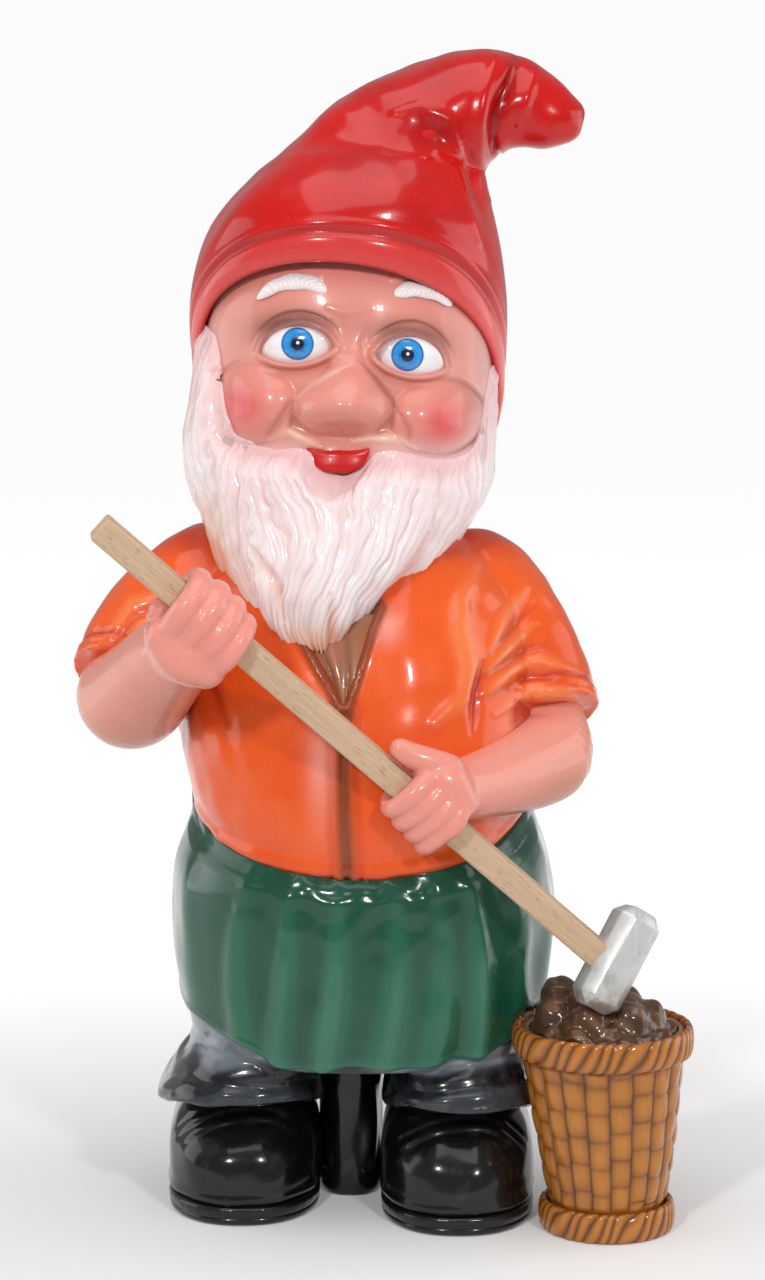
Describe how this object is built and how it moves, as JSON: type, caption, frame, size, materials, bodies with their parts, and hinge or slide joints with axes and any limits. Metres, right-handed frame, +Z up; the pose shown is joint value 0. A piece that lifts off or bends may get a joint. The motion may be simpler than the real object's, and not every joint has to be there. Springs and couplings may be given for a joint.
{
  "type": "garden gnome",
  "caption": "Standing garden gnome with a floppy pointed cap and full beard, gripping a wooden-handled hammer over a basket of ore.",
  "frame": {"origin": "centre of the floor area that the whole object covers, on the floor", "axes": "+Z up through the cap, -Y the way the gnome faces, +X towards its own left hand and the basket"},
  "size_m": [0.3606, 0.2748, 0.6778],
  "materials": {
    "hat_red": "glossy sprayed enamel, red fading to pink at the brim",
    "skin": "glossy sprayed enamel with airbrushed cheeks and eyelids",
    "white": "satin white enamel",
    "lip_red": "glossy enamel",
    "jacket_orange": "glossy sprayed enamel",
    "shirt_brown": "satin enamel",
    "trouser_grey": "glossy enamel",
    "apron_green": "glossy enamel",
    "shoe_black": "high-gloss enamel",
    "basket_brown": "glossy amber-brown glaze over relief",
    "ore_brown": "glossy dark brown",
    "hammer_grey": "silver enamel",
    "handle_beech": "bare planed hardwood"
  },
  "bodies": {
    "figure": {"hat": "hat_red", "head": "skin", "eye_left": "white", "eye_right": "white", "eyebrow_left": "white", "eyebrow_right": "white", "lips": "lip_red", "beard": "white", "jacket": "jacket_orange", "shirt_front": "shirt_brown", "sleeve_left": "jacket_orange", "sleeve_right": "jacket_orange", "arm_left": "skin", "arm_right": "skin", "trousers": "trouser_grey", "apron": "apron_green", "apron_tie": "apron_green", "shoe_left": "shoe_black", "shoe_right": "shoe_black", "sole_left": "shoe_black", "sole_right": "shoe_black", "rear_support": "shoe_black", "basket": "basket_brown", "basket_rim": "basket_brown", "basket_foot": "basket_brown", "ore": "ore_brown", "hammer_head": "hammer_grey"},
    "handle": {"hammer_handle": "handle_beech"},
    "plug": {"filler_plug": "shoe_black"}
  },
  "joints": [
    {"name": "handle_slide", "type": "slide", "parent": "figure", "child": "handle", "axis": [-0.728, -0.1771, 0.6624], "range_m": [0, 0.345]},
    {"name": "plug_slide", "type": "slide", "parent": "figure", "child": "plug", "axis": [0, 0, -1], "range_m": [0, 0.025]}
  ]
}
